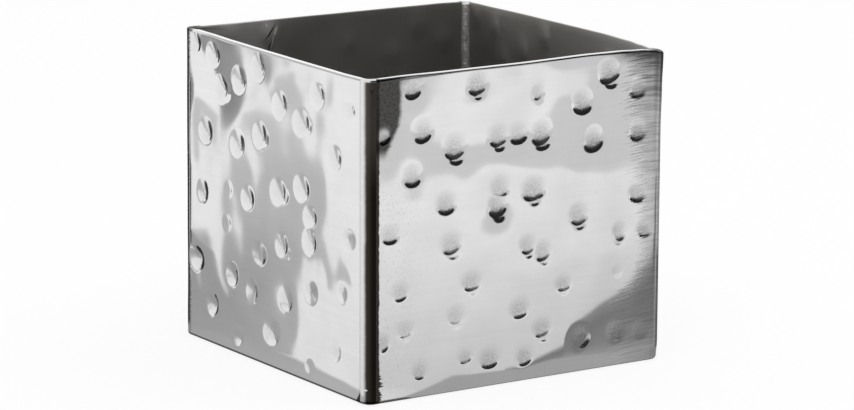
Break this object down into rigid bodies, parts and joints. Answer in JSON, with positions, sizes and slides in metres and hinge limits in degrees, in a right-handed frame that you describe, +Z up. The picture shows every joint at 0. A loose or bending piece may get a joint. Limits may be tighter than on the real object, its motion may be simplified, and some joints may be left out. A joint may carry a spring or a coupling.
{
  "type": "sugar packet holder",
  "caption": "Square open-topped box of polished, hammered steel sheet with welded corners and base, which holds sugar packets upright on a table.",
  "frame": {"origin": "middle of the underside, on the surface that the holder stands on", "axes": "+Z up from the underside to the open rim, -Y out of the front wall, +X towards the right wall"},
  "size_m": [0.07, 0.07, 0.0635],
  "materials": {
    "hammered_sheet": "mirror polished, hammered",
    "corner_weld": "ground and polished outside, as welded inside",
    "base_plate": "satin",
    "base_weld": "ground flush"
  },
  "bodies": {
    "root": {"front_right_sheet": "hammered_sheet", "back_left_sheet": "hammered_sheet", "front_left_weld": "corner_weld", "back_right_weld": "corner_weld", "base_plate": "base_plate", "base_weld_front": "base_weld", "base_weld_right": "base_weld", "base_weld_back": "base_weld", "base_weld_left": "base_weld"}
  },
  "joints": []
}
